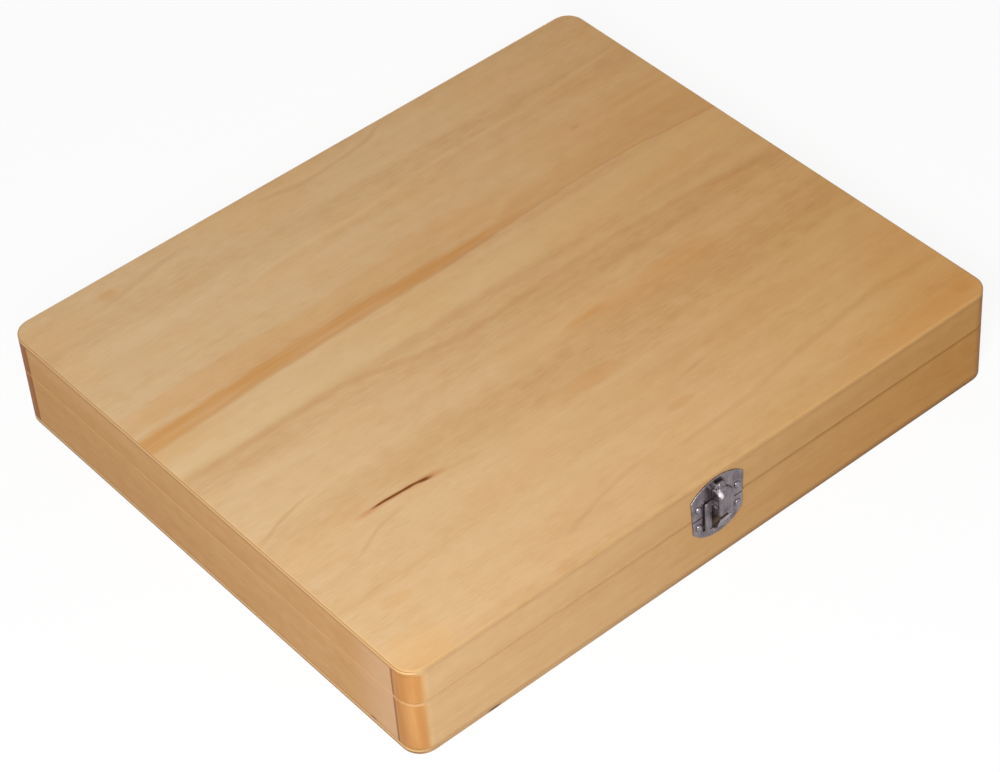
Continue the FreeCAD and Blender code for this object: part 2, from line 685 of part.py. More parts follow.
def make_nail(x, height):
    """A nail with a domed head, drawn point down with the head's underside at z = 0."""
    head_radius = "(dims.nail_head_diameter / 2)"
    dome = f"(({head_radius} ^ 2 + dims.nail_head_height ^ 2) / (2 * dims.nail_head_height))"
    head = doc.addObject("Part::Sphere", "nail_head")
    sunk = f"({dome} - dims.nail_head_height)"
    bind(head, Radius=dome, Angle1=f"asin({sunk} / {dome})")
    place(head, z=f"-{sunk}")
    shank_length = "(dims.nail_length + dims.latch_sheet)"
    point_length = "dims.nail_diameter"
    shank_radius = "dims.nail_diameter / 2"
    shank = rod(shank_radius, f"{shank_length} - {point_length}", z=f"-{shank_length} + {point_length}")
    point = cone("0", shank_radius, point_length, z=f"-{shank_length}")
    nail = fuse([head, shank, point])
    plate_front = f"-{HALF_DEPTH} - dims.latch_sheet"
    return place(nail, x, plate_front, f"{LATCH_LEVEL} + {height}", Vector(1, 0, 0), 90)


def make_nails(label, height):
    return group([make_nail(f"{side} * dims.nail_across / 2", height) for side in (-1, 1)], label)


# The base

pieces = []
base_height = "dims.base_rail_height"
lid_height = "dims.lid_rail_height"

bottom_panel = make_panel("bottom_panel", "dims.bottom_thickness", "0", "dims.bottom_edge_round", "0")
base_front_rail = make_long_rail("base_front_rail", base_height, "dims.bottom_thickness", base_height, False)
base_back_rail = make_long_rail("base_back_rail", base_height, "dims.bottom_thickness", base_height, True)
base_left_side = make_side("base_left_side", base_height, "dims.bottom_thickness", base_height, False)
base_right_side = make_side("base_right_side", base_height, "dims.bottom_thickness", base_height, True)
cut_nail_holes(base_front_rail, f"{LATCH_LEVEL} - dims.bottom_thickness - dims.lower_nail_offset")
cut_hinge_seats(base_back_rail, base_height, True)
cut_housings(base_back_rail, [f"{n} * {BAY_PITCH}" for n in (-1, 0, 1)], True, "dims.rail_thickness")
cut_housings(base_left_side, [DIVIDER_MIDDLE], False, "dims.side_thickness")
cut_housings(base_right_side, [f"-{DIVIDER_MIDDLE}"], False, "dims.side_thickness")
pieces += [bottom_panel, base_front_rail, base_back_rail, base_left_side, base_right_side]

pieces.append(make_long_divider("long_divider"))
for number, name in ((-1, "left"), (0, "middle"), (1, "right")):
    pieces.append(make_cross_divider(f"{name}_cross_divider", number))

# The lid

lid_panel = make_panel("lid_panel", "dims.top_thickness", LID_TOP, "dims.top_edge_round", "dims.top_thickness")
lid_front_rail = make_long_rail("lid_front_rail", lid_height, LID_LEVEL, "0", False)
lid_back_rail = make_long_rail("lid_back_rail", lid_height, LID_LEVEL, "0", True)
lid_left_side = make_side("lid_left_side", lid_height, LID_LEVEL, "0", False)
lid_right_side = make_side("lid_right_side", lid_height, LID_LEVEL, "0", True)
cut_nail_holes(lid_front_rail, f"{LATCH_LEVEL} - {LID_LEVEL} + dims.upper_nail_offset")
cut_hinge_seats(lid_back_rail, "0", False)
pieces += [lid_panel, lid_front_rail, lid_back_rail, lid_left_side, lid_right_side]

# The hinges

for name, sign in (("left", "-"), ("right", "")):
    middle = f"{sign}dims.hinge_spacing / 2"
    pieces.append(make_leaf(f"hinge_{name}_base_leaf", middle, False))
    pieces.append(make_leaf(f"hinge_{name}_lid_leaf", middle, True))
    pieces.append(make_hinge_pin(f"hinge_{name}_pin", middle))
pieces.append(make_screws("hinge_base_screws", False))
pieces.append(make_screws("hinge_lid_screws", True))

# The catch

pieces.append(make_upper_plate("latch_upper_plate"))
pieces.append(make_lower_plate("latch_lower_plate"))
pieces.append(make_hasp("latch_hasp"))
pieces.append(make_pivot_pin("latch_pivot_pin"))
pieces.append(make_nails("latch_upper_nails", "dims.upper_nail_offset"))
pieces.append(make_nails("latch_lower_nails", "-dims.lower_nail_offset"))

# Check the whole document, then write each piece to its own file

doc.recompute()
for item in doc.Objects:
    if "Invalid" in item.State or "Error" in item.State:
        raise RuntimeError(f"{item.Name} failed: {item.State}")
for piece in pieces:
    if piece.Shape.isNull() or not piece.Shape.isValid():
        raise RuntimeError(f"{piece.Label} has no valid shape")

os.makedirs("parts", exist_ok=True)
for piece in pieces:
    piece.Shape.exportStep(os.path.join("parts", piece.Label + ".step"))
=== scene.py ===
import math
import bpy
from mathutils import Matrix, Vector


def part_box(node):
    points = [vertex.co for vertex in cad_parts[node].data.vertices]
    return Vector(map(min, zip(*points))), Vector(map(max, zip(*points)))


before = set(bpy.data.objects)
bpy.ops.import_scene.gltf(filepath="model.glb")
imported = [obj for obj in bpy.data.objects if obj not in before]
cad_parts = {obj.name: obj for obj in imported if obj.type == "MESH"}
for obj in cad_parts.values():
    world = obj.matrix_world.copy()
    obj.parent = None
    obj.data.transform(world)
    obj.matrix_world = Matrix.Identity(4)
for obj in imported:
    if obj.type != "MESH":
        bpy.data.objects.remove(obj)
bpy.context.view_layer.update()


# Bottom panel: a sheet of three-ply that closes the base from below, glued flush to the frame.
# Its face veneers run along the front and its core runs front to back, so the layers show at the
# edge, and the whole sheet has a clear satin lacquer.

class Wire:
    """An output socket; sums, products and powers of wires add Math nodes to its tree."""

    def __init__(self, socket):
        self.socket = socket

    def node(self, kind, settings=None, sockets=None, out=0):
        """Any other node: its settings are made first, then its sockets get values or wires."""
        tree = self.socket.id_data
        made = tree.nodes.new(kind)
        for name, setting in (settings or {}).items():
            if name == "stops":
                stops = made.color_ramp.elements
                while len(stops) < len(setting):
                    stops.new(1.0)
                for stop, (position, colour) in zip(stops, setting):
                    stop.position = position
                    stop.color = colour
            elif name == "interpolation":
                made.color_ramp.interpolation = setting
            else:
                setattr(made, name, setting)
        for key, source in (sockets or {}).items():
            if isinstance(source, Wire):
                tree.links.new(source.socket, made.inputs[key])
            else:
                made.inputs[key].default_value = source
        return Wire(made.outputs[out])

    def maths(self, operation, *terms):
        return self.node("ShaderNodeMath", {"operation": operation}, dict(enumerate(terms)))

    def __add__(self, other):
        return self.maths("ADD", self, other)

    def __radd__(self, other):
        return self.maths("ADD", other, self)

    def __sub__(self, other):
        return self.maths("SUBTRACT", self, other)

    def __rsub__(self, other):
        return self.maths("SUBTRACT", other, self)

    def __mul__(self, other):
        return self.maths("MULTIPLY", self, other)

    def __rmul__(self, other):
        return self.maths("MULTIPLY", other, self)

    def __truediv__(self, other):
        return self.maths("DIVIDE", self, other)

    def __rtruediv__(self, other):
        return self.maths("DIVIDE", other, self)

    def __pow__(self, other):
        return self.maths("POWER", self, other)

    def __rpow__(self, other):
        return self.maths("POWER", other, self)

    def __neg__(self):
        return 0 - self

    def __abs__(self):
        return self.maths("ABSOLUTE", self)

    def fade(self, start, end, first=0.0, last=1.0):
        """The first value at start and the last at end, eased between; start may be the higher."""
        if start > end:
            start, end, first, last = end, start, last, first
        return self.node("ShaderNodeMapRange", {"interpolation_type": "SMOOTHSTEP"},
                         {0: self, 1: start, 2: end, 3: first, 4: last})

    def axes(self):
        """The three parts of a vector."""
        parts = self.node("ShaderNodeSeparateXYZ", None, {0: self}).socket.node.outputs
        return [Wire(part) for part in parts]


def linear(red, green, blue):
    """A colour given 0 to 255 on the screen's curve, as the linear colour of a shader."""
    parts = [channel / 255 for channel in (red, green, blue)]
    return tuple(p / 12.92 if p <= 0.04045 else ((p + 0.055) / 1.055) ** 2.4 for p in parts) + (1.0,)


def tint(mask, under, over, strength=1.0, mode="MIX"):
    """Lays one colour over another where the mask is 1, as strongly as this."""
    if strength != 1.0:
        mask = mask * strength
    settings = {"data_type": "RGBA", "blend_type": mode}
    return mask.node("ShaderNodeMix", settings, {0: mask, 6: under, 7: over}, out=2)


class Finish:
    """A material under way: its shader, and the place and the normal in the piece's own frame."""

    LOOKS_ROUND = 8  # rays that feel for walls and edges near a place

    def __init__(self, name, **constants):
        self.material = bpy.data.materials.new(name)
        self.material.use_nodes = True
        self.tree = self.material.node_tree
        self.tree.nodes.clear()
        self.shader = self.tree.nodes.new("ShaderNodeBsdfPrincipled")
        output = self.tree.nodes.new("ShaderNodeOutputMaterial")
        self.tree.links.new(self.shader.outputs[0], output.inputs["Surface"])
        for socket, constant in constants.items():
            self.shader.inputs[socket.replace("_", " ")].default_value = constant
        coordinates = self.tree.nodes.new("ShaderNodeTexCoord")
        self.at = Wire(coordinates.outputs["Object"])
        self.x, self.y, self.z = self.at.axes()
        self.out_x, self.out_y, self.out_z = Wire(coordinates.outputs["Normal"]).axes()

    def in_gaps(self, reach, open_sky, shut_sky):
        """1 where walls within reach shut the sky out, and 0 where they leave it open."""
        sky = self.at.node("ShaderNodeAmbientOcclusion", {"samples": self.LOOKS_ROUND},
                           {"Distance": reach}, out=1)
        return sky.fade(open_sky, shut_sky)

    def feed(self, socket, wire):
        self.tree.links.new(wire.socket, self.shader.inputs[socket])

    def emboss(self, strength, depth, **sockets):
        """Raises the surface a little, by the height that is given."""
        relief = {"Strength": strength, "Distance": depth, **sockets}
        self.feed("Normal", self.at.node("ShaderNodeBump", None, relief))

    def dress(self, *names):
        for name in names:
            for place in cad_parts[name].material_slots:
                place.material = self.material


MM = 0.001
X, Y, Z = range(3)
NOISE_MIDDLE, NOISE_ROUGHNESS = 0.5, 0.55
NOISE_SHIFTS = 1.0, 1.7, 0.6  # each axis's share of a shift
MIDDLING = 0.3, 0.7           # noise from low to high


def drawn_noise(at, along, length, width, shift, detail=2.0):
    """Noise whose features are this long down the grain and this wide across it, in millimetres."""
    scale = [1 / (width * MM)] * 3
    scale[along] = 1 / (length * MM)
    stretched = at.node("ShaderNodeVectorMath", {"operation": "MULTIPLY_ADD"},
                        {0: at, 1: scale, 2: [shift * share for share in NOISE_SHIFTS]})
    return at.node("ShaderNodeTexNoise", {"noise_dimensions": "3D"},
                   {"Vector": stretched, "Scale": 1.0, "Detail": detail, "Roughness": NOISE_ROUGHNESS})


FIGURE = {  # length and width in millimetres, detail, shift, share of the tone
    "bands": (420, 30, 2.0, 0.0, 0.75),
    "streaks": (150, 6, 3.0, 3.1, 0.34),
    "fibres": (9, 0.45, 1.0, 5.3, 0.42),
    "mottle": (11, 7, 2.0, 8.9, 0.32)}
MIDDLE_TONE = 0.5


def figure(at, along, shift):
    """The wood's tone, 0 dark to 1 pale, and the fine fibres that its lacquer follows."""
    layers, tone = {}, MIDDLE_TONE
    for name, (length, width, detail, offset, share) in FIGURE.items():
        layers[name] = drawn_noise(at, along, length, width, shift + offset, detail) - NOISE_MIDDLE
        tone = tone + layers[name] * share
    return tone, layers["fibres"]


DARK_TONE, PALE_TONE = 0.18, 0.82


def wood_colours(dark, middle, pale):
    """A wood's colours at its dark, middle and pale tones."""
    return [(DARK_TONE, linear(*dark)), (MIDDLE_TONE, linear(*middle)), (PALE_TONE, linear(*pale))]


def coloured(tone, colours):
    return tone.node("ShaderNodeValToRGB", {"stops": colours}, {0: tone})


OVAL_END = 1.3  # the square of the distance, in half sizes, at which a spot has died away


def oval(across, up, middle, halves):
    """A soft oval spot: 1 in its middle and 0 from a little outside its half sizes."""
    beside = (across - middle[0]) / halves[0]
    above = (up - middle[1]) / halves[1]
    return (beside * beside + above * above).fade(OVAL_END, 0.0)


# Painted shade: the wood is multiplied by this warm colour in the given direction, standing in for the
# light falling off away from the lamp.
FALLOFF_SHADE, ACROSS_THE_LIGHT = (0.91, 0.75, 0.51, 1.0), (0.9, -0.3)
LIT_AT, SHADED_AT = -0.20, 0.24  # metres in that direction from the middle of the case
# Dark brown, used for real knocks, scuffs and chips and for painted shade in gaps and along the bottom
# edges.
GRIME_AND_SHADE = linear(84, 50, 28)
SATIN = 0.1                      # the lacquer's specular level
SATIN_ROUGHNESS, FIBRE_ROUGHNESS = 0.5, 0.2


def finish_wood(finish, colour, fibres, falloff_shade=FALLOFF_SHADE, towards=ACROSS_THE_LIGHT):
    """Paints shade that warms and deepens the wood in one direction, where the light falls off, paints
    shade into its gaps and lacquers it.
    """
    # painted shade of the light's fall-off
    falloff = (finish.x * towards[X] + finish.y * towards[Y]).fade(LIT_AT, SHADED_AT)
    colour = tint(falloff, colour, falloff_shade, mode="MULTIPLY")
    # Painted shade: the wood is darkened in gaps and corners that see little sky.
    gap_shade = finish.in_gaps(1.4 * MM, open_sky=0.42, shut_sky=0.12)
    finish.feed("Base Color", tint(gap_shade, colour, GRIME_AND_SHADE, strength=0.8))
    finish.feed("Roughness", SATIN_ROUGHNESS - fibres * FIBRE_ROUGHNESS)
    finish.emboss(strength=0.18, depth=0.05 * MM, Height=fibres)


CORE_HALF = 0.75 * MM
CORE_SIDE, FACE_SIDE = linear(236, 195, 138), linear(192, 140, 86)
FRAME_SHADE = linear(190, 138, 84)
GLUE = linear(140, 92, 52)
EDGE_SHADE = (0.86, 0.88, 0.82, 1.0)


def plywood_edge(finish, core_middle, joint, colour):
    """Shows the three layers on the sheet's edges: long grain, end grain and the glue between, with
    painted shade by the frame joint and on the rounded top edge.
    """
    edge = abs(finish.out_z).fade(0.85, 0.45)
    from_middle = abs(finish.z - core_middle)
    core = from_middle.fade(CORE_HALF + 0.08 * MM, CORE_HALF - 0.08 * MM)
    sideways, turned_to_side = abs(finish.out_x), (0.35, 0.7)
    facing_side = sideways.fade(*turned_to_side)
    # A dark joint line beside the frame, with painted shade on it that deepens towards the right.
    by_frame = abs(finish.z - joint).fade(1.3 * MM, 0.5 * MM)
    shade_rightward = finish.x.fade(0, 130 * MM, 0.2, 0.6)
    front_layers = tint(by_frame * shade_rightward, colour, FRAME_SHADE)
    side_layers = tint(core, FACE_SIDE, CORE_SIDE)
    layers = tint(facing_side, front_layers, side_layers)
    glue_line = abs(from_middle - CORE_HALF).fade(0.18 * MM, 0.06 * MM)
    glue_shows = sideways.fade(*turned_to_side, 0.05, 0.70)
    colour = tint(edge, colour, tint(glue_line * glue_shows, layers, GLUE))
    # Painted shade: the rounded top edge, where the lamp's light catches it, is multiplied darker, more
    # towards the left and not on the sides.
    eased = finish.out_z.fade(0.985, 0.90) * finish.out_z.fade(0.15, 0.4)
    leftward = finish.x.fade(150 * MM, -60 * MM)
    return tint(eased * leftward * (1 - facing_side), colour, EDGE_SHADE, mode="MULTIPLY")


SEASONED_WOOD = wood_colours((204, 161, 112), (217, 181, 136), (226, 193, 151))
bottom = Finish("bottom_plywood", Specular_IOR_Level=SATIN)
tone, fibres = figure(bottom.at, X, shift=21.0)
bottom_low, bottom_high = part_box("bottom_panel")
sheet = plywood_edge(bottom, core_middle=bottom_low.z + 2.0 * MM, joint=bottom_high.z,
                     colour=coloured(tone, SEASONED_WOOD))
knock = oval(bottom.x, bottom.z, middle=(-132 * MM, 1.1 * MM), halves=(4.4 * MM, 1.1 * MM))
scuff = oval(bottom.x, bottom.z, middle=(148 * MM, 0.4 * MM), halves=(26 * MM, 0.9 * MM))
# Painted shade along the bottom edge of the front, deeper towards the right; the knock and the scuff are
# real marks.
bottom_edge_shade = bottom.z.fade(3.6 * MM, 1.4 * MM) * bottom.x.fade(-120 * MM, 60 * MM, 0.22, 0.62)
SCUFF_STRENGTH = 0.3
marks_and_edge_shade = knock.maths("MAXIMUM", knock, scuff * SCUFF_STRENGTH + bottom_edge_shade)
facing_front = (-bottom.out_y).fade(0.3, 0.6)
sheet = tint(marks_and_edge_shade * facing_front, sheet, GRIME_AND_SHADE, strength=0.85)
# Painted shade along the bottom edge of the sides.
side_edge_shade = bottom.z.fade(2.2 * MM, 1.2 * MM) * abs(bottom.out_x).fade(0.3, 0.6)
sheet = tint(side_edge_shade, sheet, GRIME_AND_SHADE, strength=0.3)
finish_wood(bottom, sheet, fibres)
bottom.dress("bottom_panel")


# Base frame: two long rails and two sides of lime, with the sides tongued into the rails. The rails
# run the full length, so their orange end grain comes round the corners and shows on the sides.

rail_low, rail_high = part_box("base_front_rail")
SEAM_Z = rail_high.z
CORNER_JOINT = abs(rail_high.y) - 0.4 * MM  # from the middle of the case, front and back alike
PANEL_JOINTS = bottom_high.z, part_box("lid_panel")[0].z
END_DARK, END_PALE = linear(199, 139, 78), linear(212, 157, 95)
END_PORES, END_GRAIN_SHADE = linear(160, 98, 48), linear(176, 112, 58)


def timber(name, along, shift, colours):
    """Solid wood whose grain runs along one axis, orange and pored where it is cut across, with painted
    shade where the cut end faces straight along the grain.
    """
    finish = Finish(name, Specular_IOR_Level=SATIN)
    tone, fibres = figure(finish.at, along, shift)
    pores = drawn_noise(finish.at, along, 14, 0.7, shift + 2.3, detail=3.0)
    growth = drawn_noise(finish.at, Z, 40, 3.5, shift + 6.1)
    cut_across = abs((finish.out_x, finish.out_y)[along])
    end_grain = tint(growth.fade(*MIDDLING), END_DARK, END_PALE)
    end_grain = tint(pores.fade(0.6, 0.75), end_grain, END_PORES, strength=0.25)
    # Painted shade on the part of the end grain that faces straight sideways, away from the lamp.
    end_grain = tint(cut_across.fade(0.7, 1.0), end_grain, END_GRAIN_SHADE, strength=0.35)
    colour = tint(cut_across.fade(0.08, 0.4), coloured(tone, colours), end_grain, strength=0.95)
    return finish, colour, fibres


JOINT_DIRT = linear(142, 80, 40)
PALE_CORNER_BAND = linear(232, 192, 150)
# Painted shade for the gap of the seam, lightened by this share where the corners round.
SEAM_SHADE = (0.45, 0.43, 0.44, 1.0)
CORNER_SEAM_LIFT = 0.4


def darken_joints_and_seam(finish, colour, seam_shade):
    """Darkens the corner joints and the joints with the panels, pales a band below the seam at the round
    corners, and paints shade on the eased edges along the seam.
    """
    sideways, turned_to_side = abs(finish.out_x), (0.6, 0.95)
    facing_side = sideways.fade(*turned_to_side)
    corner_joint = abs(abs(finish.y) - CORNER_JOINT).fade(0.95 * MM, 0.35 * MM)
    colour = tint(corner_joint * facing_side, colour, JOINT_DIRT, strength=0.8)
    for level in PANEL_JOINTS:
        by_panel = abs(finish.z - level).fade(1.7 * MM, 0.6 * MM)
        colour = tint(by_panel * sideways.fade(*turned_to_side, 0.1, 0.24), colour, JOINT_DIRT)
    height = finish.z - SEAM_Z
    round_corner = sideways.fade(0.08, 0.4) * (1 - facing_side)
    # A paler band just below the seam, where the corners round.
    below_seam_band = height.fade(-1.3 * MM, -0.9 * MM) * height.fade(-0.3 * MM, -0.5 * MM)
    colour = tint(below_seam_band * round_corner, colour, PALE_CORNER_BAND, strength=0.6)
    not_flat = abs(finish.out_z).fade(0.98, 0.85)
    # Painted shade: the eased edges along the seam are multiplied darker, standing for the shaded gap
    # between lid and base.
    eased = height.fade(-0.85 * MM, -0.6 * MM) * height.fade(0.25 * MM, 0.0) * not_flat
    shaded_seam = eased * seam_shade * (1 - round_corner * CORNER_SEAM_LIFT)
    return tint(shaded_seam, colour, SEAM_SHADE, mode="MULTIPLY")


FRONT_WOOD = wood_colours((208, 164, 112), (219, 179, 129), (227, 191, 145))
# Painted shade of the light's fall-off along the base and lid front rails.
BASE_FALLOFF_SHADE, LID_FALLOFF_SHADE = (0.80, 0.60, 0.29, 1.0), (0.80, 0.63, 0.35, 1.0)
ALONG_FRONT = (1.0, 0.0)
PALE_CATCH_SHADE, DEEP_CATCH_SHADE = linear(112, 101, 94), linear(44, 34, 29)


def front_rail(name, shift, falloff_shade):
    """A rail along the front, with painted shade behind the catch and a painted shade of the light's
    fall-off that deepens towards the right.
    """
    finish, colour, fibres = timber(name, X, shift, FRONT_WOOD)
    colour = darken_joints_and_seam(finish, colour, seam_shade=finish.x.fade(-100 * MM, 60 * MM, 0.46, 0.64))
    # Painted shade: the wood seen through the catch's openings is darkened, deepest under the hasp and
    # paler lower down.
    within_plates = abs(finish.x).fade(9.8 * MM, 9.2 * MM)
    level = finish.z.fade(19.0 * MM, 20.0 * MM) * finish.z.fade(41.5 * MM, 40.5 * MM)
    facing_front = (-finish.out_y).fade(0.4, 0.65)
    catch_shade = tint(finish.z.fade(23.5 * MM, 27.0 * MM), PALE_CATCH_SHADE, DEEP_CATCH_SHADE)
    colour = tint(within_plates * level * facing_front, colour, catch_shade, strength=0.95)
    finish_wood(finish, colour, fibres, falloff_shade, ALONG_FRONT)
    return finish


SAWN_END = linear(140, 76, 42)


def back_rail(name, shift):
    """A rail along the back, dark where its ends are sawn across."""
    finish, colour, fibres = timber(name, X, shift, FRONT_WOOD)
    colour = tint(abs(finish.out_x).fade(0.5, 0.9), colour, SAWN_END, strength=0.6)
    finish_wood(finish, darken_joints_and_seam(finish, colour, seam_shade=0.5), fibres)
    return finish


SIDE_WOOD = wood_colours((195, 141, 86), (206, 157, 101), (216, 171, 118))
# Painted shade of the light's fall-off along the sides.
SIDE_FALLOFF_SHADE, ALONG_SIDE = (0.98, 0.88, 0.66, 1.0), (0.6, 0.8)
SAPWOOD = linear(222, 182, 146)


def side_piece(name, shift, chipped=False):
    """A side: browner wood, with a pale patch of sapwood towards the front."""
    finish, colour, fibres = timber(name, Y, shift, SIDE_WOOD)
    colour = tint(finish.y.fade(-104 * MM, -132 * MM), colour, SAPWOOD, strength=0.55)
    if chipped:
        chip = oval(finish.y, finish.z, middle=(-119 * MM, 3.6 * MM), halves=(2.6 * MM, 0.9 * MM))
        colour = tint(chip, colour, GRIME_AND_SHADE, strength=0.8)
    colour = darken_joints_and_seam(finish, colour, seam_shade=finish.y.fade(60 * MM, -110 * MM, 0.40, 0.53))
    finish_wood(finish, colour, fibres, SIDE_FALLOFF_SHADE, ALONG_SIDE)
    return finish


front_rail("base_front_wood", 1.0, BASE_FALLOFF_SHADE).dress("base_front_rail")
back_rail("base_back_wood", 2.2).dress("base_back_rail")
side_piece("base_left_wood", 3.4, chipped=True).dress("base_left_side")
side_piece("base_right_wood", 4.6).dress("base_right_side")


# Partitions: thin lime boards let into shallow housings in the frame, one behind the brush tray and
# three between the bays. They are sanded and lacquered like the case, and paler because no light
# reaches them while it is shut.

SHELTERED_WOOD = wood_colours((206, 166, 116), (222, 186, 138), (232, 202, 158))
DIVIDERS = (("long_divider", X, 5.8), ("left_cross_divider", Y, 7.0),
            ("middle_cross_divider", Y, 8.2), ("right_cross_divider", Y, 9.4))
for piece, along, shift in DIVIDERS:
    board, colour, fibres = timber(f"{piece}_wood", along, shift, SHELTERED_WOOD)
    finish_wood(board, colour, fibres)
    board.dress(piece)


# Lid frame: rails and sides of lime like those of the base, cut shallower from other boards, joined
# in the same way and eased along the seam.

front_rail("lid_front_wood", 11.2, LID_FALLOFF_SHADE).dress("lid_front_rail")
back_rail("lid_back_wood", 12.4).dress("lid_back_rail")
side_piece("lid_left_wood", 13.6).dress("lid_left_side")
side_piece("lid_right_wood", 14.8).dress("lid_right_side")


# Lid panel: three-ply glued down over the lid frame, with a rotary-cut face. A brown mineral streak
# crosses it from end to end, a pitch pocket has opened near the left, and thin growth lines wander
# between. Places and sizes on it are in millimetres from its middle.

lid_low, lid_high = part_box("lid_panel")
LID_HALF_X, LID_HALF_Y = lid_high.x / MM, lid_high.y / MM
lid = Finish("lid_plywood", Specular_IOR_Level=SATIN)
tone, fibres = figure(lid.at, X, shift=31.0)
lid_x, lid_y = lid.x / MM, lid.y / MM
WAVER_WIDTH, RAGGED_WIDTH = 2.6, 5.0
waver = (drawn_noise(lid.at, X, 22, 5, shift=41.0) - NOISE_MIDDLE) * WAVER_WIDTH
ragged = (drawn_noise(lid.at, X, 14, 1.3, shift=43.0, detail=3.0) - NOISE_MIDDLE) * RAGGED_WIDTH


def course(points):
    """The line that passes these places on the lid."""
    stops = []
    for x, y in points:
        level = (y + LID_HALF_Y) / (2 * LID_HALF_Y)
        stops.append(((x + LID_HALF_X) / (2 * LID_HALF_X), (level, level, level, 1.0)))
    across = (lid_x + LID_HALF_X) / (2 * LID_HALF_X)
    settings = {"interpolation": "CARDINAL", "stops": stops}
    return across.node("ShaderNodeValToRGB", settings, {0: across}) * (2 * LID_HALF_Y) - LID_HALF_Y


def mark(points, half_width, feather, taper=12.0):
    """A line in the veneer: 1 along its course, soft at the sides and tapering off at its ends."""
    first, last = points[0][X], points[-1][X]
    beside = abs(lid_y + waver - course(points)).fade(half_width + feather, half_width)
    return beside * lid_x.fade(first - taper, first + taper) * lid_x.fade(last + taper, last - taper)


plain_veneer = coloured(tone, SEASONED_WOOD)
STREAK = linear(204, 146, 80)
STREAK_TOP = [(-175, 45), (-120, 47), (-75, 49), (-20, 48.5), (40, 47), (52, 53), (80, 58), (175, 60)]
STREAK_FOOT = [(-175, 34), (-115, 37.5), (-60, 39), (0, 39.7), (30, 41), (50, 42.5), (110, 44), (175, 39)]
over_foot = lid_y + waver * 0.5 + ragged * 0.35 - course(STREAK_FOOT)
soft_foot, crisp_foot = over_foot.fade(-2.2, 2.0), over_foot.fade(-0.4, 1.0)
above_foot = soft_foot + (crisp_foot - soft_foot) * lid_x.fade(-30, 40)
below_top = (course(STREAK_TOP) - lid_y - waver * 1.4 - ragged).fade(-3.5, 3.0)
depth = drawn_noise(lid.at, X, 48, 4, shift=45.0).fade(*MIDDLING, 0.75, 1.20)
grained = 0.75 + tone * 0.5
strength_along = lid_x.fade(72, 20, 0.28, 0.70)
veneer = tint(above_foot * below_top * strength_along * depth * grained, plain_veneer, STREAK)
LEFT_FOOT, RIGHT_FOOT = linear(176, 118, 62), linear(186, 132, 84)
veneer = tint(mark(STREAK_FOOT[:5], 0.3, 1.8), veneer, LEFT_FOOT, strength=0.15)
veneer = tint(mark(STREAK_FOOT[3:], 0.2, 0.9), veneer, RIGHT_FOOT, strength=0.3)
PALE_BAND = linear(228, 198, 150)
pale_band = (lid_y + waver).fade(8, 16) * (lid_y + waver).fade(39, 31)
veneer = tint(pale_band, veneer, PALE_BAND, strength=0.3)

BROWN_LINE, PALE_LINE = linear(188, 134, 80), linear(232, 204, 160)
BROWN_LINES = [  # places, half width, feather, strength
    ([(-175, 9), (-87, 9.5), (-67, 6), (-50, 1.5), (-35, -1.5), (-12, -2.8), (25, -1.5), (50, -0.3),
      (100, -1.5), (137, -3.5), (175, -9.5)], 0.5, 2.88, 0.231),
    ([(-175, -46), (-160, -39.8), (-140, -35.5)], 0.2, 1.6, 0.275),
    ([(-150, -81), (-132, -73.5), (-117, -69.8)], 0.2, 1.6, 0.22),
    ([(-140, 130), (-112, 134), (-80, 139)], 0.3, 2.56, 0.22),
    ([(-33, 140), (-12, 136.5), (20, 137.8), (37, 141.5), (45, 145)], 0.3, 2.24, 0.2475),
    ([(-68, -131), (-45, -124.8), (-12, -121)], 0.2, 1.92, 0.165),
    ([(0, -126), (50, -122.3), (125, -113.5), (175, -115)], 0.3, 2.56, 0.165),
    ([(25, -94), (48, -91)], 0.2, 1.44, 0.22),
    ([(137, 74), (171, 74)], 0.3, 2.56, 0.1925),
    ([(-88, -64.8), (-68, -66.5)], 0.2, 1.92, 0.165)]
PALE_LINES = [
    ([(-80, 95), (-50, 99), (0, 99), (37, 102.7), (100, 103.5), (137, 106.5), (175, 109.5)],
     0.4, 2.24, 0.2),
    ([(-175, -17.5), (-155, -13.5), (-125, -13), (-107, -14.8)], 0.3, 2.52, 0.2)]
for lines, line_colour in ((BROWN_LINES, BROWN_LINE), (PALE_LINES, PALE_LINE)):
    for points, half_width, feather, strength in lines:
        veneer = tint(mark(points, half_width, feather), veneer, line_colour, strength)

BLOTCH = linear(208, 150, 82)
BLOTCHES = [  # place, half length and half width, strength
    (27, -32.5, 16, 3.2, 0.375), (82, -30, 26, 4.5, 0.2625), (0, -66, 20, 6, 0.3),
    (19, -105.5, 9, 3, 0.3), (-127, 136, 6, 3.2, 0.4125), (-160, 130, 24, 12, 0.1875),
    (-150, -110, 10, 4, 0.225), (60, -38, 62, 11, 0.225), (114, 74.5, 3, 1.8, 0.3375),
    (-120, 88, 30, 5, 0.15), (120, 20, 40, 6, 0.135), (90, -85, 50, 9, 0.12),
    (165, -138, 7, 6, 0.2625), (128, -144, 52, 11, 0.2625), (168, -112, 38, 42, 0.225),
    (-112, 56, 84, 9, 0.315), (5, 59, 64, 11, 0.2625), (140, 70, 64, 15, 0.21),
    (-170, 31, 46, 9, 0.2625)]
for x, y, half_length, half_width, strength in BLOTCHES:
    blotch = oval(lid_x, lid_y + waver * 1.5, (x, y), (half_length, half_width))
    veneer = tint(blotch, veneer, BLOTCH, strength)

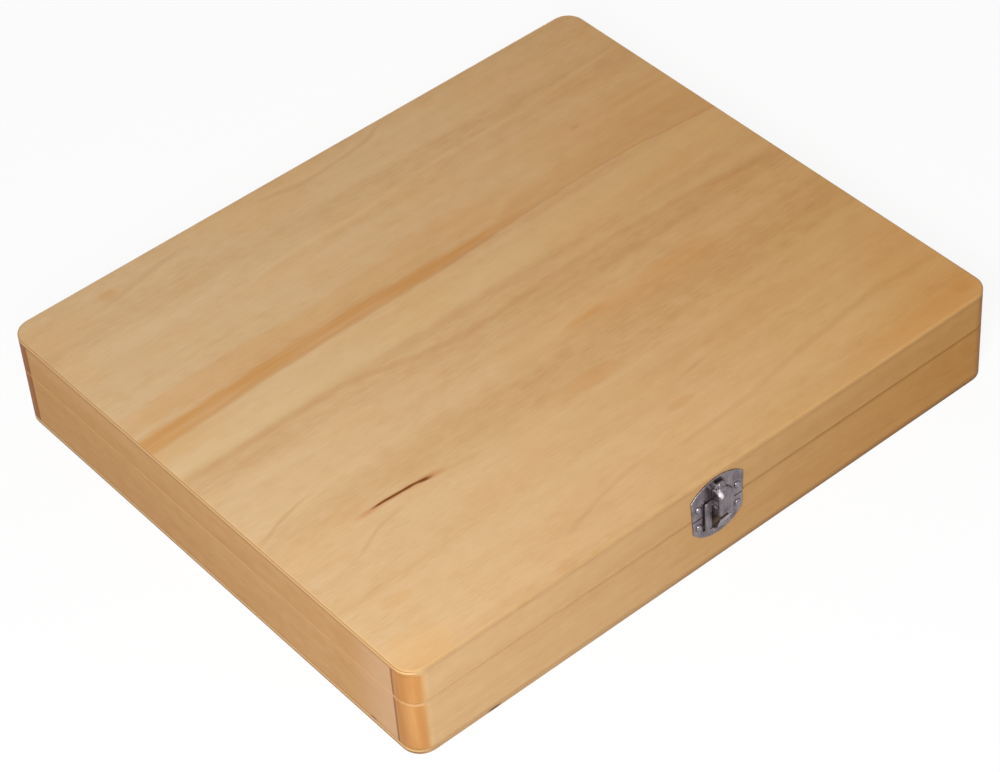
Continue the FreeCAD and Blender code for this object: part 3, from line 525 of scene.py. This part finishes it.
WARM_PATCH, COOL_PATCH = (1.0, 0.95, 0.84, 1.0), (0.99, 1.0, 0.95, 1.0)
patches = drawn_noise(lid.at, X, 70, 26, shift=47.0)
veneer = tint(patches.fade(0.48, 0.7), veneer, WARM_PATCH, strength=0.6, mode="MULTIPLY")
veneer = tint(patches.fade(0.5, 0.3), veneer, COOL_PATCH, strength=0.6, mode="MULTIPLY")
CORNER_GLOW = linear(230, 174, 104)
veneer = tint(oval(lid_x, lid_y, (-163, -140), (22, 14)), veneer, CORNER_GLOW, strength=0.3)

PITCH_STAIN, PITCH = linear(190, 108, 46), linear(112, 60, 8)
STAIN_LINE = [(-131, -62.2), (-112, -61.6), (-86, -63.8)]
PITCH_LINE = [(-123, -61.3), (-112, -61.6), (-101, -62.4), (-93, -63.6)]
veneer = tint(mark(STAIN_LINE, 0.2, 2.2, taper=7.0), veneer, PITCH_STAIN, strength=0.5)
veneer = tint(mark(PITCH_LINE, 0.3, 0.8, taper=3.0), veneer, PITCH, strength=0.96)

upper_face = lid.out_z.fade(0.4, 0.8)
sheet = plywood_edge(lid, core_middle=lid_low.z + 1.5 * MM, joint=lid_low.z,
                     colour=tint(upper_face, plain_veneer, veneer))
finish_wood(lid, sheet, fibres)
lid.dress("lid_panel")


# Hinges: two small butt hinges of pressed steel, nickel plated, let into the back rails and held by
# countersunk screws. The plating is dulled, with painted shade in the corners and edges brightened
# partly by wear and partly by a painted highlight.

PLATED, PLATE_ROUGHNESS = 0.85, 0.3
WORN_EDGE_AND_SHEEN, CORNER_SHADE = linear(206, 198, 202), linear(48, 40, 44)


def plated_steel(name, along, shift, dark, light, easing=0.22, wear_and_sheen=0.6):
    """Nickel plate drawn along one axis, cloudy and scratched, its edges brightened partly by wear and
    partly by a painted highlight, with painted shade in its corners.
    """
    finish = Finish(name, Metallic=PLATED)
    at = finish.at
    cloud = drawn_noise(at, along, 9, 4, shift, detail=3.0)
    scratches = drawn_noise(at, along, 9, 0.14, shift + 4.0, detail=1.0) - NOISE_MIDDLE
    colour = tint((cloud + scratches * 0.5).fade(*MIDDLING), dark, light)
    rounded = at.node("ShaderNodeBevel", {"samples": Finish.LOOKS_ROUND}, {"Radius": easing * MM})
    facing = at.node("ShaderNodeNewGeometry", out=1)
    flatness = rounded.node("ShaderNodeVectorMath", {"operation": "DOT_PRODUCT"},
                            {0: rounded, 1: facing}, out=1)
    # Partly worn plating and partly a painted highlight: the edges are brightened.
    colour = tint(flatness.fade(0.985, 0.90), colour, WORN_EDGE_AND_SHEEN, strength=wear_and_sheen)
    # Painted shade: the plating is darkened in corners and recesses that see little sky.
    corner_shade_mask = finish.in_gaps(3.0 * MM, open_sky=0.6, shut_sky=0.15)
    colour = tint(corner_shade_mask, colour, CORNER_SHADE, strength=0.3)
    finish.feed("Roughness", PLATE_ROUGHNESS + (cloud - NOISE_MIDDLE) * 0.2 + scratches * 0.25)
    finish.emboss(strength=0.15, depth=0.03 * MM, Height=scratches, Normal=rounded)
    finish.feed("Base Color", colour)
    return finish, colour


hinge_steel, _ = plated_steel("hinge_nickel", X, 51.0, linear(116, 109, 110), linear(148, 141, 141))
for side in ("left", "right"):
    hinge_steel.dress(f"hinge_{side}_base_leaf", f"hinge_{side}_lid_leaf", f"hinge_{side}_pin")
screw_steel, _ = plated_steel("screw_nickel", X, 53.0, linear(122, 115, 115), linear(158, 151, 150))
screw_steel.dress("hinge_base_screws", "hinge_lid_screws")


# Catch: two pressed plates nailed to the front, one on the lid with lugs and a pinned hasp, one on
# the base with a raised loop that the hasp's cheeks close over. Nickel plate, duller than the hinges.

NAIL_RING_SHADE, HIGHLIGHT_WHITE = linear(38, 30, 36), linear(244, 236, 240)
plate, colour = plated_steel("plate_nickel", Z, 61.0, linear(100, 91, 96), linear(142, 132, 137))
# Painted shade: a dark ring on the plates round each nail head.
for nails in ("latch_upper_nails", "latch_lower_nails"):
    low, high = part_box(nails)
    head_radius = (high.z - low.z) / 2
    beside = abs(plate.x) - (high.x - head_radius)
    above = plate.z - (high.z + low.z) / 2
    radii_out = (beside * beside + above * above) ** 0.5 / head_radius
    colour = tint(radii_out.fade(1.55, 1.05), colour, NAIL_RING_SHADE, strength=0.75)
hood_y, hood_lip = rail_low.y - 4 * MM, SEAM_Z - 2.65 * MM
on_hood = abs(plate.x).fade(3.3 * MM, 3.1 * MM) * plate.y.fade(hood_y, hood_y - 1 * MM)
# Painted highlight along the top edge of the lower plate's hood.
lip_highlight = on_hood * plate.z.fade(hood_lip - 0.5 * MM, hood_lip) * plate.x.fade(-2.5 * MM, 0.5 * MM)
plate.feed("Base Color", tint(lip_highlight, colour, HIGHLIGHT_WHITE, strength=0.6))
plate.dress("latch_upper_plate", "latch_lower_plate", "latch_pivot_pin")

hasp, colour = plated_steel("hasp_nickel", Z, 62.0, linear(90, 81, 86), linear(130, 120, 125),
                            easing=1.9, wear_and_sheen=0.3)
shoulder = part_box("latch_hasp")[1].z - 4.1 * MM
# Painted highlight on the upper left shoulder of the hasp.
shoulder_highlight = oval(hasp.x, hasp.z, middle=(-2.6 * MM, shoulder), halves=(1.1 * MM, 1.9 * MM))
hasp.feed("Base Color", tint(shoulder_highlight, colour, HIGHLIGHT_WHITE, strength=0.9))
hasp.dress("latch_hasp")

nail_steel, _ = plated_steel("nail_nickel", Z, 63.0, linear(112, 103, 108), linear(168, 158, 164))
nail_steel.dress("latch_upper_nails", "latch_lower_nails")


# Studio: a white paper floor in a white surround, with a large soft lamp near the front left of the
# box, so that its front and top are bright there and fall off towards the back right, and a small
# lamp low at the back.

WHITE, BOUNCE = (1.0, 1.0, 1.0, 1.0), (0.42, 0.41, 0.40, 1.0)
FLOOR_HALF, PAPER_GLOW, FILL = 6.0, 0.9, 0.28


def seen_directly(owner):
    """1 for rays that show the studio itself: from the camera, a mirror or glass."""
    owner.use_nodes = True
    owner.node_tree.nodes.clear()
    path = owner.node_tree.nodes.new("ShaderNodeLightPath")
    camera, glossy, through = [Wire(path.outputs[f"Is {ray} Ray"])
                               for ray in ("Camera", "Glossy", "Transmission")]
    return camera.maths("MAXIMUM", camera.maths("MAXIMUM", camera, glossy), through)


def surfaced(owner, output_kind, surface):
    """Makes this the surface of a material or a world."""
    output = owner.node_tree.nodes.new(output_kind)
    owner.node_tree.links.new(surface.socket, output.inputs["Surface"])


floor_mesh = bpy.data.meshes.new("studio_floor")
floor_corners = [(x * FLOOR_HALF, y * FLOOR_HALF, 0.0) for x, y in ((-1, -1), (1, -1), (1, 1), (-1, 1))]
floor_mesh.from_pydata(floor_corners, [], [(0, 1, 2, 3)])
floor = bpy.data.objects.new("studio_floor", floor_mesh)
bpy.context.scene.collection.objects.link(floor)
paper = bpy.data.materials.new("studio_paper")
direct = seen_directly(paper)
matt = direct.node("ShaderNodeBsdfDiffuse", None, {"Color": WHITE})
glow = direct.node("ShaderNodeEmission", None, {"Color": WHITE, "Strength": 1.0})
seen_paper = direct.node("ShaderNodeMixShader", None, {0: PAPER_GLOW, 1: matt, 2: glow})
bounce = direct.node("ShaderNodeBsdfDiffuse", None, {"Color": BOUNCE})
surfaced(paper, "ShaderNodeOutputMaterial",
         direct.node("ShaderNodeMixShader", None, {0: direct, 1: bounce, 2: seen_paper}))
floor_mesh.materials.append(paper)

surround = bpy.data.worlds.new("studio_surround")
bpy.context.scene.world = surround
direct = seen_directly(surround)
fill = direct.node("ShaderNodeBackground", None, {"Color": WHITE, "Strength": FILL})
white = direct.node("ShaderNodeBackground", None, {"Color": WHITE, "Strength": 1.0})
surfaced(surround, "ShaderNodeOutputWorld",
         direct.node("ShaderNodeMixShader", None, {0: direct, 1: fill, 2: white}))


def add_lamp(name, place, target, size, energy):
    """A round soft lamp that points at the target and isn't in the picture."""
    lamp = bpy.data.lights.new(name, "AREA")
    lamp.shape = "DISK"
    lamp.size = size
    lamp.energy = energy
    holder = bpy.data.objects.new(name, lamp)
    bpy.context.scene.collection.objects.link(holder)
    holder.location = place
    holder.rotation_euler = (Vector(target) - Vector(place)).to_track_quat("-Z", "Y").to_euler()
    holder.visible_camera = False


add_lamp("back_lamp", place=(0.75, 0.95, 0.12), target=(0.0, 0.0, 0.03), size=0.24, energy=6.0)
add_lamp("key_lamp", place=(-0.68, -0.69, 0.80), target=(-0.05, -0.05, 0.03), size=0.40, energy=13.6)


# Camera: a long lens above and to the left of the front, tilted a little, as in the photograph.
# Its place and angles were worked out from the edges and corners of the case.

camera = bpy.data.cameras.new("camera")
camera.sensor_width = 36.0
camera.lens = 116.08
viewpoint = bpy.data.objects.new("camera", camera)
bpy.context.scene.collection.objects.link(viewpoint)
viewpoint.location = (-0.67224, -0.88874, 1.06477)
viewpoint.rotation_euler = [math.radians(angle) for angle in (46.3001, 3.4685, -40.3218)]
bpy.context.scene.camera = viewpoint
bpy.context.scene.view_settings.view_transform = "Standard"
